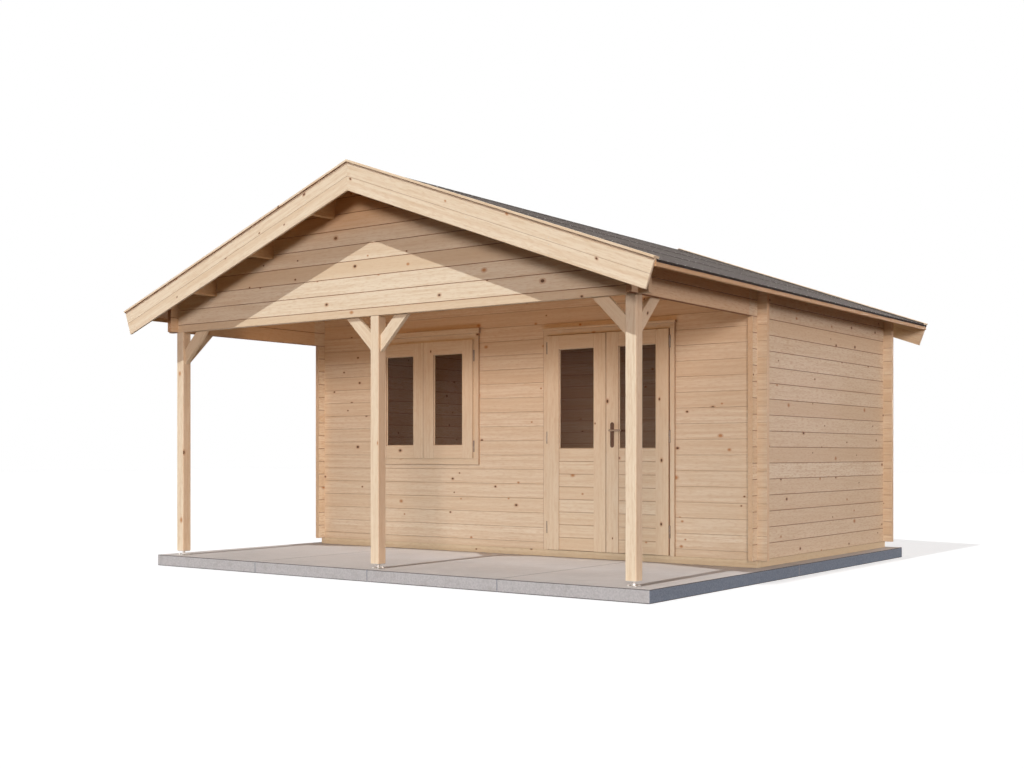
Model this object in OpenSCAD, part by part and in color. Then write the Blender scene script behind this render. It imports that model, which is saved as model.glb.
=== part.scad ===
// Log cabin with a roofed canopy in front, on a base of concrete slabs.
// X runs to the right, Y to the back, Z up.
// The origin is under the middle of the roof, at the base's underside.

/* [Concrete base] */
// How far the base reaches past the side walls
base_side = 145; // [100:5:200]
// How far the base reaches past the gable and the back wall
base_ends = 87.5; // [60:2.5:150]
// Thickness of the slabs
base_t = 100; // [60:5:200]
// Slabs side by side
base_across = 4; // [2:1:6]
// Slabs from front to back
base_deep = 2; // [2:1:6]
// Open joint between two slabs
base_joint = 3; // [1:0.5:8]

/* [Logs] */
// Height of one log
log_h = 135; // [125:1:150]
// Thickness of one log
log_t = 45; // [34:1:60]
// How far log ends stand out past a corner
log_end = 87; // [60:1:110]
// Chamfer along a log's edges
log_chamfer = 3; // [1:0.5:6]
// Height of the two tongues on a log
tongue_h = 7; // [4:0.5:10]
// Width of a tongue
tongue_w = 9; // [6:0.5:10]
// Play between two logs
log_fit = 0.5; // [0.3:0.1:1]

/* [Cabin] */
// Width over the side walls
wall_w = 5030; // [4700:10:5150]
// Depth over the front and back walls
wall_d = 2970; // [2600:10:3100]
// Depth of the canopy, from the front wall to the canopy's gable
canopy_d = 1935; // [1500:10:1990]
// Courses of logs in a side wall
side_courses = 17; // [17:1:19]
// Top courses of the side walls that run on as canopy beams
beam_courses = 2; // [1:1:2]
// Play where pieces of joinery meet
joint_fit = 0.3; // [0.2:0.1:0.5]

/* [Floor] */
// Height of the foundation beams
found_h = 60; // [45:1:80]
// Width of the foundation beams
found_w = 60; // [45:1:80]
// Width of a floor joist
joist_w = 45; // [35:1:70]
// Number of floor joists
joist_count = 8; // [5:1:10]
// Thickness of the floor
floor_t = 19; // [16:1:28]
// Gap between the floor and the walls
floor_gap = 5; // [2:1:10]

/* [Roof] */
// Slope of the roof in degrees
roof_pitch = 20; // [17:0.5:22]
// Overhang of the roof past the gables
gable_overhang = 320; // [250:5:400]
// Overhang of the roof past the side walls
eave_overhang = 320; // [250:5:400]
// Thickness of the roof boards
deck_t = 19; // [16:1:28]
// Thickness of the roofing felt
felt_t = 3; // [2:0.5:6]
// How far the felt hangs over the eave
felt_drip = 4; // [2:1:10]
// Height of the bargeboards, both boards together
barge_h = 215; // [180:1:260]
// Thickness of the bargeboards
barge_t = 20; // [16:1:30]
// Thickness of the cover strips on the bargeboards
cover_t = 18; // [12:1:25]
// Width of the cover strips
cover_w = 70; // [50:1:100]
// How far the cover strips stand out
cover_over = 15; // [6:1:25]
// Height of the eave boards
eave_h = 46; // [35:1:80]
// Thickness of the eave boards
eave_t = 20; // [16:1:30]
// Gap between the two slopes at the ridge
ridge_gap = 0.5; // [0.4:0.1:2]

/* [Purlins] */
// Width of a purlin
purlin_w = 60; // [45:1:80]
// Height of a purlin on its uphill side
purlin_h = 178; // [140:1:200]
// Place of the first purlin, from the ridge
purlin_first = 470; // [350:5:600]
// Distance from one purlin to the next
purlin_step = 748; // [600:1:800]
// Purlins on each slope
purlin_count = 3; // [2:1:3]

/* [Canopy posts] */
// Side of a post
post_w = 90; // [80:1:120]
// Chamfer along a post's edges
post_chamfer = 4; // [1:0.5:8]
// How far a post stands behind the gable's face
post_back = 5; // [2:1:12]
// How far a corner post stands in from the side wall's face
post_in = 18; // [5:1:40]
// Height of the steel post feet
foot_h = 42; // [30:1:90]
// Side of a foot's plates
foot_plate_w = 80; // [60:1:80]
// Thickness of a foot's plates
foot_plate_t = 6; // [4:1:8]
// Diameter of a foot's stem
foot_stem_d = 24; // [16:1:40]
// Length of a brace along its post
brace_leg = 297; // [250:1:360]
// Width of a brace
brace_w = 98; // [60:1:110]
// Thickness of a brace
brace_t = 40; // [28:1:60]

/* [Door] */
// Middle of the double door, from the cabin's middle
door_x = 1058; // [950:1:1200]
// Width of one leaf
leaf_w = 634; // [560:1:680]
// Height of a leaf
leaf_h = 1968; // [1900:1:2000]
// Thickness of a leaf
leaf_t = 40; // [36:1:50]
// How far the leaves stand out past the casing
leaf_proud = 15; // [10:1:18]
// Gap round a leaf
seam = 6; // [5:0.5:8]
// Width of the stiles
stile_w = 128; // [110:1:140]
// Height of the top rail
rail_h = 125; // [100:1:150]
// Height of the glass
leaf_glass_h = 914; // [800:1:1000]
// Boards below the glass
leaf_boards = 8; // [6:1:10]
// Thickness of those boards
leaf_board_t = 26; // [20:1:32]
// Thickness of the glass
glass_t = 4; // [3:1:6]
// Thickness of the frame that lines the wall opening
jamb_t = 35; // [30:1:45]
// Depth of the rebate that the leaf closes into
rebate = 10; // [8:1:15]
// How far the frame stands out on the inside
jamb_in = 15; // [10:1:25]
// Width of the door's casing boards
door_casing_w = 45; // [40:1:70]
// Thickness of all casing boards
casing_t = 20; // [16:1:25]
// Height of the cap on the door's casing
door_cap_h = 22; // [15:1:40]
// How far the caps stand out past the casing
cap_over = 12; // [5:1:25]
// Height of the threshold
sill_h = 28; // [20:1:40]

/* [Hinges and handle] */
// Diameter of a hinge barrel
barrel_d = 12; // [10:1:14]
// Diameter of the hinge pin
pin_d = 7; // [5:0.5:8]
// Play of the pin in its barrel
pin_fit = 0.2; // [0.1:0.05:0.4]
// Height of one half of a hinge
knuckle_h = 52; // [40:1:70]
// Distance from the hinge axis to the leaf's edge
hinge_off = 10; // [9:0.5:14]
// Thickness of the hinge tabs
tab_t = 4; // [3:0.5:6]
// Height of the lowest hinge above the leaf's lower end
hinge_low = 205; // [150:5:300]
// Distance of the highest hinge from the leaf's upper end
hinge_top = 110; // [90:5:300]
// Hinges on each leaf
hinge_count = 3; // [2:1:4]
// Height of the handle plates
plate_h = 226; // [180:1:260]
// Width of the handle plates
plate_w = 38; // [32:1:50]
// Thickness of the handle plates
plate_t = 4; // [3:0.5:6]
// Height of the lever above the leaf's lower end
lever_z = 1090; // [950:5:1150]
// Height of the lever above the middle of its plate
lever_up = 40; // [20:1:60]
// Length of the lever
lever_len = 112; // [90:1:130]
// Diameter of the lever's grip
lever_d = 16; // [12:1:20]
// Diameter of the lever's neck
neck_d = 18; // [14:1:24]
// Distance from the plate to the lever's middle
lever_reach = 46; // [35:1:60]
// Diameter of the spindle
spindle_d = 9; // [8:0.5:12]
// Play of the spindle and neck in their holes
spindle_fit = 0.4; // [0.2:0.1:0.6]

/* [Window] */
// Middle of the window, from the cabin's middle
window_x = -1076; // [-1200:1:-950]
// Height of the window's lower edge above the foundation beams
window_z = 846; // [750:1:950]
// Width of one casement
casement_w = 617; // [520:1:650]
// Height of a casement
casement_h = 1145; // [1000:1:1150]
// Width of the window's casing boards
window_casing_w = 55; // [40:1:70]
// Height of the cap on the window's casing
window_cap_h = 50; // [15:1:55]
// Height of the lowest hinge above a casement's lower end
window_hinge_low = 115; // [80:5:300]
// Distance of the highest hinge from a casement's upper end
window_hinge_top = 155; // [80:5:300]
// Hinges on each casement
window_hinge_count = 2; // [2:1:3]

/* [Hidden] */
$fn = 48;

// Colours
pine = "#e6cfae";
joinery = "#dcc3a0";
treated = "#cbb98d";
concrete = "#b9b4ae";
felt_grey = "#6f6a66";
steel = "#b8bcc0";
bronze = "#5a4436";
pane = "#7b6a60";

// Main planes
x_side = wall_w / 2;
y_gable = -(canopy_d + wall_d) / 2;
y_front = y_gable + canopy_d;
y_back = y_front + wall_d;
base_w = wall_w + 2 * base_side;
base_d = canopy_d + wall_d + 2 * base_ends;
z_base = base_t;
z_found = z_base + found_h;
z_beam = z_found + (side_courses - beam_courses) * log_h;
z_plate = z_found + side_courses * log_h;

// Roof: the underside of the boards meets the side walls' outer faces at the plate height
slope = tan(roof_pitch);
z_ridge = z_plate + x_side * slope;
x_eave = x_side + eave_overhang;
y_barge = -y_gable + gable_overhang;
n_top = deck_t + felt_t;
barge_end = (x_eave - n_top * sin(roof_pitch)) / cos(roof_pitch);
lowest_gable_log = side_courses - beam_courses;
top_log = floor((z_ridge - z_found) / log_h - 0.5);

// Canopy
x_post = x_side - post_in - post_w / 2;
z_foot = z_base + foot_h;
brace_cut = brace_w * sqrt(2);

// Double door
door_w = 2 * leaf_w + seam;
x_left_leaf = door_x - door_w / 2;
x_right_leaf = door_x + seam / 2;
leaf_front = y_front - casing_t - leaf_proud;
leaf_back = leaf_front + leaf_t;
z_leaf = z_found + seam;
z_leaf_top = z_leaf + leaf_h;
board_h = (leaf_h - rail_h - leaf_glass_h) / leaf_boards;
z_leaf_glass = z_leaf + leaf_boards * board_h;
jamb_front = leaf_back + seam;
jamb_back = y_front + log_t + jamb_in;
y_hinge = y_front - casing_t - joint_fit - barrel_d / 2;
x_left_hinge = door_x - door_w / 2 - hinge_off;
x_right_hinge = door_x + door_w / 2 + hinge_off;
x_lever = door_x + seam / 2 + stile_w / 2;
z_lever = z_leaf + lever_z;

// Window
window_w = 2 * casement_w + seam;
z_window = z_found + window_z;
z_window_top = z_window + casement_h;

function roof_z(x) = z_ridge - abs(x) * slope;
function slope_point(s, n) =
  [s * cos(roof_pitch) + n * sin(roof_pitch), z_ridge - s * sin(roof_pitch) + n * cos(roof_pitch)];
function purlin_x(i) = purlin_first + i * purlin_step;
function purlin_top(i) = roof_z(purlin_x(i) - purlin_w / 2);
function purlin_low(i) = purlin_top(i) - purlin_h;
function spread(i, count, low, high) = low + i * (high - low) / (count - 1);

// A box between two corners
module block(low, high) {
  translate(low) cube(high - low);
}

// An outline in X and Z, drawn out along Y
module along_y(y0, y1) {
  translate([0, y1, 0]) rotate([90, 0, 0]) linear_extrude(y1 - y0) children();
}

// An outline in Y and Z, drawn out along X
module along_x(x0, x1) {
  translate([x0, 0, 0]) rotate([90, 0, 90]) linear_extrude(x1 - x0) children();
}

// Section of a board or log with its four long edges chamfered
module chamfered(low, high, c) {
  polygon([
    [low[0] + c, low[1]], [high[0] - c, low[1]], [high[0], low[1] + c], [high[0], high[1] - c],
    [high[0] - c, high[1]], [low[0] + c, high[1]], [low[0], high[1] - c], [low[0], low[1] + c]
  ]);
}

// Section of a log: chamfered edges, two tongues on top and two grooves for the tongues of the log below
module log_section(low, high, tongues, grooves) {
  c = log_chamfer;
  mids = [for (m = [0.3, 0.7]) low[0] + m * (high[0] - low[0])];
  half = tongue_w / 2;
  slot = half + log_fit;
  z_tongue = high[1] + tongue_h;
  z_slot = low[1] + tongue_h + 2 * log_fit;
  polygon(concat(
    [[low[0], low[1] + c], [low[0] + c, low[1]]],
    [for (a = grooves ? mids : []) each
      [[a - slot, low[1]], [a - slot, z_slot], [a + slot, z_slot], [a + slot, low[1]]]],
    [[high[0] - c, low[1]], [high[0], low[1] + c], [high[0], high[1] - c], [high[0] - c, high[1]]],
    [for (a = tongues ? [mids[1], mids[0]] : []) each
      [[a + half, high[1]], [a + half, z_tongue], [a - half, z_tongue], [a - half, high[1]]]],
    [[low[0] + c, high[1]], [low[0], high[1] - c]]
  ));
}

module both_sides() {
  children();
  mirror([1, 0, 0]) children();
}

// Logs

// Height range of a log that runs along X: these lie half a log lower than the side walls' logs
function cross_low(j, first) = z_found + max(j - 0.5, first) * log_h + log_fit / 2;
function cross_high(j) = j == top_log ? z_ridge : z_found + (j + 0.5) * log_h - log_fit / 2;

// The quarter-height notches of a log along X, where it laps the two side walls
module cross_notches(y0, j, first) {
  both_sides() for (edge = [0, 1]) {
    middle = z_found + j * log_h;
    core = log_h / 4 - log_fit / 2;
    z0 = edge == 0 ? middle - log_h : middle + core;
    z1 = edge == 0 ? max(middle - core, cross_low(j, first) - 1) : middle + log_h;
    if (edge == 1 || j > first)
      block([x_side - log_t - log_fit, y0 - 1, z0], [x_side + log_fit, y0 + log_t + 1, z1]);
  }
}

module cross_log(y0, j, first) {
  x_end = x_side + log_end;
  difference() {
    along_x(-x_end, x_end)
      log_section([y0, cross_low(j, first)], [y0 + log_t, cross_high(j)], true, j > first);
    cross_notches(y0, j, first);
  }
}

// The gable's outline under the roof boards
module under_roof(z0) {
  x_end = x_side + log_end + 1;
  z_end = roof_z(x_end) - joint_fit;
  polygon([[-x_end, z0], [x_end, z0], [x_end, z_end], [0, z_ridge - joint_fit], [-x_end, z_end]]);
}

// A gable log: cut to the roof's slope and let in round the purlins
module gable_log(y0, j, first) {
  x_end = x_side + log_end;
  z0 = cross_low(j, first);
  z1 = cross_high(j);
  difference() {
    intersection() {
      along_x(-x_end, x_end)
        log_section([y0, z0], [y0 + log_t, z1 + (j == top_log ? log_t : 0)], j < top_log, j > first);
      along_y(y0 - 1, y0 + log_t + 1) under_roof(z_beam - log_h);
    }
    if (j <= side_courses) cross_notches(y0, j, first);
    for (i = [0 : purlin_count - 1])
      if (purlin_top(i) > z0 && purlin_low(i) < z1)
        both_sides() along_y(y0 - 1, y0 + log_t + 1) purlin_section(i, log_fit);
  }
}

// A log along Y before it is notched; the top one is cut to the roof's slope
module side_stock(k, z0, z1, y0, y1) {
  if (k < side_courses - 1) {
    along_y(y0, y1) log_section([x_side - log_t, z0], [x_side, z1], true, k > 0);
  } else {
    x_in = x_side - log_t - 1;
    x_out = x_side + 1;
    intersection() {
      along_y(y0, y1) log_section([x_side - log_t, z0], [x_side, z1 + log_t * slope + 1], false, true);
      along_y(y0 - 1, y1 + 1) polygon([
        [x_in, z0 - 1], [x_out, z0 - 1],
        [x_out, roof_z(x_out) - joint_fit], [x_in, roof_z(x_in) - joint_fit]
      ]);
    }
  }
}

// A log along Y, with notches where it laps the walls at each y of crossings
module side_log(k, y_start, crossings) {
  z0 = z_found + k * log_h + log_fit / 2;
  z1 = z_found + (k + 1) * log_h - log_fit / 2;
  x0 = x_side - log_t - 1;
  x1 = x_side + 1;
  difference() {
    side_stock(k, z0, z1, y_start, y_back + log_end);
    for (y = crossings) {
      block([x0, y - log_fit, z0 - 1], [x1, y + log_t + log_fit, z0 + log_h / 4]);
      block([x0, y - log_fit, z1 - log_h / 4], [x1, y + log_t + log_fit, z1 + log_h]);
    }
  }
}

module side_wall() {
  for (k = [0 : side_courses - 1]) {
    beam = k >= side_courses - beam_courses;
    walls = [y_front, y_back - log_t];
    side_log(k, (beam ? y_gable : y_front) - log_end, beam ? concat([y_gable], walls) : walls);
  }
}

module wall_openings() {
  joinery_hole(door_x, door_w, z_found, z_leaf_top);
  joinery_hole(window_x, window_w, z_window - seam - rebate, z_window_top);
}

// The hole in the front wall for a frame round leaves of width w
module joinery_hole(x, w, z0, z1) {
  half = w / 2 + seam + rebate;
  block([x - half, y_front - 1, z0], [x + half, y_front + log_t + 1, z1 + seam + rebate]);
}

module front_wall() color(pine) for (j = [0 : side_courses - 1]) difference() {
  cross_log(y_front, j, 0);
  wall_openings();
}

module back_wall() color(pine) for (j = [0 : side_courses - 1]) cross_log(y_back - log_t, j, 0);

module right_wall() color(pine) side_wall();

module left_wall() color(pine) mirror([1, 0, 0]) side_wall();

module canopy_gable() color(pine)
  for (j = [lowest_gable_log : top_log]) gable_log(y_gable, j, lowest_gable_log);

module front_gable() color(pine) for (j = [side_courses : top_log]) difference() {
  gable_log(y_front, j, 0);
  wall_openings();
}

module back_gable() color(pine) for (j = [side_courses : top_log]) gable_log(y_back - log_t, j, 0);

// Base, foundation and floor

module concrete_base() color(concrete) {
  w = (base_w - (base_across - 1) * base_joint) / base_across;
  d = (base_d - (base_deep - 1) * base_joint) / base_deep;
  for (i = [0 : base_across - 1], k = [0 : base_deep - 1])
    translate([-base_w / 2 + i * (w + base_joint), -base_d / 2 + k * (d + base_joint), 0])
      cube([w, d, base_t]);
}

module foundation_beams() color(treated) {
  z0 = z_base;
  z1 = z_found;
  for (y = [y_front, y_back - found_w]) block([-x_side, y, z0], [x_side, y + found_w, z1]);
  both_sides() block(
    [x_side - found_w, y_front + found_w + joint_fit, z0], [x_side, y_back - found_w - joint_fit, z1]);
}

module floor_joists() color(treated) for (i = [0 : joist_count - 1]) {
  x_edge = x_side - found_w - floor_gap;
  x = spread(i, joist_count, -x_edge, x_edge - joist_w);
  block([x, y_front + found_w + joint_fit, z_base], [x + joist_w, y_back - found_w - joint_fit, z_found]);
}

module floor_boards() color(pine) block(
  [-x_side + log_t + floor_gap, jamb_back + floor_gap, z_found],
  [x_side - log_t - floor_gap, y_back - log_t - floor_gap, z_found + floor_t]);

// Roof

// A layer of the right-hand slope between two heights over the boards' underside, ending plumb at x_end
module slope_layer(n0, n1, x_end) {
  polygon([
    for (p = [[ridge_gap / 2, n0], [x_end, n0], [x_end, n1], [ridge_gap / 2, n1]])
      [p[0], roof_z(p[0]) + p[1] / cos(roof_pitch)]
  ]);
}

// The same, ending square to the slope at a distance from the ridge
module slope_board(n0, n1, s_end) {
  ridge = [for (n = [n0, n1]) [ridge_gap / 2, roof_z(ridge_gap / 2) + n / cos(roof_pitch)]];
  polygon([ridge[0], slope_point(s_end, n0), slope_point(s_end, n1), ridge[1]]);
}

module purlin_section(i, play) {
  half = purlin_w / 2 + play;
  x0 = purlin_x(i) - half;
  x1 = purlin_x(i) + half;
  z0 = purlin_low(i) - play;
  lift = play > 0 ? log_h : -joint_fit;
  polygon([[x0, z0], [x1, z0], [x1, roof_z(x1) + lift], [x0, roof_z(x0) + lift]]);
}

module purlins() color(pine) both_sides() for (i = [0 : purlin_count - 1]) {
  y_end = y_barge - barge_t - joint_fit;
  along_y(-y_end, y_end) purlin_section(i, 0);
}

module roof_deck() color(pine) both_sides() {
  y_end = y_barge - barge_t - joint_fit;
  along_y(-y_end, y_end) slope_layer(0, deck_t, x_eave - eave_t - joint_fit);
}

module roof_felt() color(felt_grey) both_sides() {
  y_end = y_barge - barge_t - joint_fit;
  along_y(-y_end, y_end) slope_layer(deck_t + joint_fit, n_top, x_eave + felt_drip);
}

module eave_boards() color(pine) both_sides() {
  y_end = y_barge - barge_t - joint_fit;
  x0 = x_eave - eave_t;
  z0 = roof_z(x_eave) + deck_t / cos(roof_pitch) - eave_h;
  along_y(-y_end, y_end) polygon([
    [x0, z0], [x_eave, z0], for (x = [x_eave, x0]) [x, roof_z(x) + deck_t / cos(roof_pitch) - joint_fit]]);
}

// Two boards on each slope, one above the other, mitred at the ridge
module bargeboards(y0) both_sides() for (i = [0, 1]) {
  half = barge_h / 2;
  n0 = n_top - barge_h + i * half;
  along_y(y0, y0 + barge_t) slope_board(n0 + joint_fit / 2, n0 + half - joint_fit / 2, barge_end);
}

module front_bargeboards() color(pine) bargeboards(-y_barge);

module back_bargeboards() color(pine) bargeboards(y_barge - barge_t);

module cover_strips() color(pine) both_sides()
  for (y = [-y_barge - cover_over, y_barge + cover_over - cover_w])
    along_y(y, y + cover_w) slope_board(n_top + joint_fit, n_top + cover_t, barge_end);

// Canopy posts and braces

module post(x) color(pine) translate([x, y_gable + post_back, z_foot]) linear_extrude(z_beam - z_foot)
  chamfered([-post_w / 2, 0], [post_w / 2, post_w], post_chamfer);

module left_post() post(-x_post);

module centre_post() post(0);

module right_post() post(x_post);

module post_feet() color(steel) for (x = [-x_post, 0, x_post])
  translate([x, y_gable + post_back + post_w / 2, z_base]) {
    for (z = [0, foot_h - foot_plate_t])
      translate([-foot_plate_w / 2, -foot_plate_w / 2, z]) cube([foot_plate_w, foot_plate_w, foot_plate_t]);
    cylinder(d = foot_stem_d, h = foot_h);
  }

// A brace in the X and Z plane, from a post's face at x = 0 to a beam's underside at z = 0
module brace() {
  along_y(-brace_t / 2, brace_t / 2) polygon([
    [joint_fit, -brace_leg], [brace_leg, -joint_fit],
    [brace_leg - brace_cut, -joint_fit], [joint_fit, brace_cut - brace_leg]
  ]);
}

module post_brace(x, turn) color(pine)
  translate([x, y_gable + post_back + post_w / 2, z_beam])
    rotate([0, 0, turn]) translate([post_w / 2, 0, 0]) brace();

module left_post_braces() for (turn = [0, 90]) post_brace(-x_post, turn);

module centre_post_braces() for (turn = [0, 180]) post_brace(0, turn);

module right_post_braces() for (turn = [180, 90]) post_brace(x_post, turn);

// Joinery

// Two uprights with boards across the top and, where foot is over 0, across the bottom
module portal(x, half_in, half_out, y0, y1, z0, z_head, head, foot) {
  for (side = [-1, 1])
    block([x + min(side * half_in, side * half_out), y0, z0 + foot + (foot > 0 ? joint_fit : 0)],
      [x + max(side * half_in, side * half_out), y1, z_head - joint_fit]);
  block([x - half_out, y0, z_head], [x + half_out, y1, z_head + head]);
  if (foot > 0) block([x - half_out, y0, z0], [x + half_out, y1, z0 + foot]);
}

module lining(x, w, z0, z_head, foot) {
  half_out = w / 2 + seam + rebate - joint_fit;
  z_top = z_head + seam + rebate - joint_fit;
  portal(x, half_out - jamb_t, half_out, jamb_front, jamb_back, z0, z_top - jamb_t, jamb_t, foot);
}

module door_frame() color(joinery) lining(door_x, door_w, z_found + joint_fit, z_leaf_top, sill_h);

module window_frame() color(joinery)
  lining(window_x, window_w, z_window - seam - rebate + joint_fit, z_window_top, jamb_t);

module casing(x, w, z0, z_head, board, foot, cap_h) {
  half_in = w / 2 + seam;
  y1 = y_front - joint_fit;
  portal(x, half_in, half_in + board, y1 - casing_t + joint_fit, y1, z0, z_head + seam, board, foot);
  block([x - half_in - board - cap_over, y1 - casing_t - cap_over, z_head + seam + board + joint_fit],
    [x + half_in + board + cap_over, y1, z_head + seam + board + cap_h]);
}

module door_casing() color(joinery)
  casing(door_x, door_w, z_found, z_leaf_top, door_casing_w, 0, door_cap_h);

module window_casing() color(joinery) {
  board = window_casing_w;
  casing(window_x, window_w, z_window - seam - board, z_window_top, board, board, window_cap_h);
}

module inner_casings() color(joinery) {
  y0 = y_front + log_t + joint_fit;
  half_door = door_w / 2 + seam + rebate;
  portal(door_x, half_door, half_door + door_casing_w, y0, jamb_back, z_found + joint_fit,
    z_leaf_top + seam + rebate, door_casing_w, 0);
  half_window = window_w / 2 + seam + rebate;
  portal(window_x, half_window, half_window + window_casing_w, y0, jamb_back,
    z_window - seam - rebate - window_casing_w, z_window_top + seam + rebate,
    window_casing_w, window_casing_w);
}

// Stiles of full height with a rail at the top and, where low_rail is over 0, at the bottom
module sash(x0, w, z0, h, low_rail) {
  for (x = [x0, x0 + w - stile_w]) block([x, leaf_front, z0], [x + stile_w, leaf_back, z0 + h]);
  rail_x0 = x0 + stile_w + joint_fit;
  rail_x1 = x0 + w - stile_w - joint_fit;
  block([rail_x0, leaf_front, z0 + h - rail_h], [rail_x1, leaf_back, z0 + h]);
  if (low_rail > 0) block([rail_x0, leaf_front, z0], [rail_x1, leaf_back, z0 + low_rail]);
}

module sash_glass(x0, w, z0, z1) {
  y_mid = (leaf_front + leaf_back) / 2;
  block([x0 + stile_w + joint_fit, y_mid - glass_t / 2, z0 + joint_fit],
    [x0 + w - stile_w - joint_fit, y_mid + glass_t / 2, z1 - joint_fit]);
}

module leaf_panel(x0) {
  y_mid = (leaf_front + leaf_back) / 2;
  for (i = [0 : leaf_boards - 1])
    along_x(x0 + stile_w + joint_fit, x0 + leaf_w - stile_w - joint_fit) chamfered(
      [y_mid - leaf_board_t / 2, z_leaf + i * board_h + joint_fit / 2],
      [y_mid + leaf_board_t / 2, z_leaf + (i + 1) * board_h - joint_fit / 2], log_chamfer);
}

module left_leaf_frame() color(joinery) sash(x_left_leaf, leaf_w, z_leaf, leaf_h, 0);

module left_leaf_boards() color(joinery) leaf_panel(x_left_leaf);

module left_leaf_glass() color(pane) sash_glass(x_left_leaf, leaf_w, z_leaf_glass, z_leaf_top - rail_h);

module right_leaf_frame() color(joinery) difference() {
  sash(x_right_leaf, leaf_w, z_leaf, leaf_h, 0);
  translate([x_lever, leaf_back + 1, z_lever]) rotate([90, 0, 0])
    cylinder(d = spindle_d + 2 * spindle_fit, h = leaf_t + 2);
}

module right_leaf_boards() color(joinery) leaf_panel(x_right_leaf);

module right_leaf_glass() color(pane) sash_glass(x_right_leaf, leaf_w, z_leaf_glass, z_leaf_top - rail_h);

module window_casements() color(joinery)
  for (x = [window_x - window_w / 2, window_x + seam / 2])
    sash(x, casement_w, z_window, casement_h, rail_h);

module window_glass() color(pane) for (x = [window_x - window_w / 2, window_x + seam / 2])
  sash_glass(x, casement_w, z_window + rail_h, z_window_top - rail_h);

// Hinges

function door_hinge_z(i) = spread(i, hinge_count, z_leaf + hinge_low, z_leaf_top - hinge_top);
function window_hinge_z(i) =
  spread(i, window_hinge_count, z_window + window_hinge_low, z_window_top - window_hinge_top);

// The lower half of a hinge, on the casing, with its pin
module hinge_pin(x) {
  translate([x, y_hinge, -knuckle_h]) {
    cylinder(d = barrel_d, h = knuckle_h - joint_fit);
    cylinder(d = pin_d, h = 2 * knuckle_h - joint_fit);
  }
  block([x - tab_t / 2, y_hinge, -knuckle_h], [x + tab_t / 2, y_front - casing_t - joint_fit, -joint_fit]);
}

// The upper half, bored for the pin, with a tab to the edge of the leaf on the given side
module hinge_barrel(x, side) difference() {
  union() {
    translate([x, y_hinge, 0]) cylinder(d = barrel_d, h = knuckle_h);
    block([x + min(0, side * (hinge_off - joint_fit)), y_hinge - tab_t / 2, 0],
      [x + max(0, side * (hinge_off - joint_fit)), y_hinge + tab_t / 2, knuckle_h]);
  }
  translate([x, y_hinge, -1]) cylinder(d = pin_d + 2 * pin_fit, h = knuckle_h + 2);
}

module door_hinge_pins() color(steel)
  for (i = [0 : hinge_count - 1], x = [x_left_hinge, x_right_hinge])
    translate([0, 0, door_hinge_z(i)]) hinge_pin(x);

module left_leaf_hinges() color(steel)
  for (i = [0 : hinge_count - 1]) translate([0, 0, door_hinge_z(i)]) hinge_barrel(x_left_hinge, 1);

module right_leaf_hinges() color(steel)
  for (i = [0 : hinge_count - 1]) translate([0, 0, door_hinge_z(i)]) hinge_barrel(x_right_hinge, -1);

module window_hinges() color(steel) for (i = [0 : window_hinge_count - 1], side = [-1, 1])
  translate([window_x + side * (window_w / 2 + hinge_off), y_hinge, window_hinge_z(i)]) {
    translate([0, 0, -knuckle_h]) cylinder(d = barrel_d, h = 2 * knuckle_h);
    block([-tab_t / 2, 0, -knuckle_h], [tab_t / 2, barrel_d / 2, -joint_fit]);
    block([min(0, -side * (hinge_off - joint_fit)), -tab_t / 2, 0],
      [max(0, -side * (hinge_off - joint_fit)), tab_t / 2, knuckle_h]);
  }

// Handle

module handle_plates() color(bronze) for (y = [leaf_front - plate_t - joint_fit, leaf_back + joint_fit])
  difference() {
    z_mid = z_lever - lever_up;
    straight = plate_h / 2 - plate_w / 2;
    along_y(y, y + plate_t) translate([x_lever, z_mid]) union() {
      square([plate_w, 2 * straight], center = true);
      for (end = [-1, 1]) translate([0, end * straight]) circle(d = plate_w);
    }
    translate([x_lever, y + plate_t + 1, z_lever]) rotate([90, 0, 0])
      cylinder(d = neck_d + 2 * spindle_fit, h = plate_t + 2);
  }

// Spindle through the leaf with a neck and a grip on each side
module door_lever() color(bronze) translate([x_lever, 0, z_lever]) {
  y_out = leaf_front - plate_t - lever_reach;
  y_in = leaf_back + plate_t + lever_reach;
  translate([0, y_in, 0]) rotate([90, 0, 0]) cylinder(d = spindle_d, h = y_in - y_out);
  for (y = [y_out, leaf_back + joint_fit]) translate([0, y + lever_reach + plate_t - joint_fit, 0])
    rotate([90, 0, 0]) cylinder(d = neck_d, h = lever_reach + plate_t - joint_fit);
  for (y = [y_out, y_in]) translate([0, y, 0]) {
    rotate([0, 90, 0]) cylinder(d = lever_d, h = lever_len);
    sphere(d = neck_d);
    translate([lever_len, 0, 0]) sphere(d = lever_d);
  }
}

concrete_base();
foundation_beams();
floor_joists();
floor_boards();
front_wall();
back_wall();
left_wall();
right_wall();
canopy_gable();
front_gable();
back_gable();
purlins();
roof_deck();
roof_felt();
front_bargeboards();
back_bargeboards();
cover_strips();
eave_boards();
left_post();
centre_post();
right_post();
post_feet();
left_post_braces();
centre_post_braces();
right_post_braces();
door_frame();
door_casing();
inner_casings();
door_hinge_pins();
left_leaf_frame();
left_leaf_boards();
left_leaf_glass();
left_leaf_hinges();
right_leaf_frame();
right_leaf_boards();
right_leaf_glass();
right_leaf_hinges();
handle_plates();
door_lever();
window_frame();
window_casing();
window_casements();
window_glass();
window_hinges();
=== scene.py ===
# %% [markdown]
# A log cabin with a canopy, dressed in Blender.
# The packed solids are the fixed frame: each log, post and board is already where it belongs.
# This lesson adds what solids lack: pine grain and knots, separate roof and floor boards, lapped felt,
# glazing beads, screws, nails and bolts, and the light of a clear day on a plain pale floor.

# %% Load the frame
import math
import random
import bmesh
import bpy
from mathutils import Matrix, Vector


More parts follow.
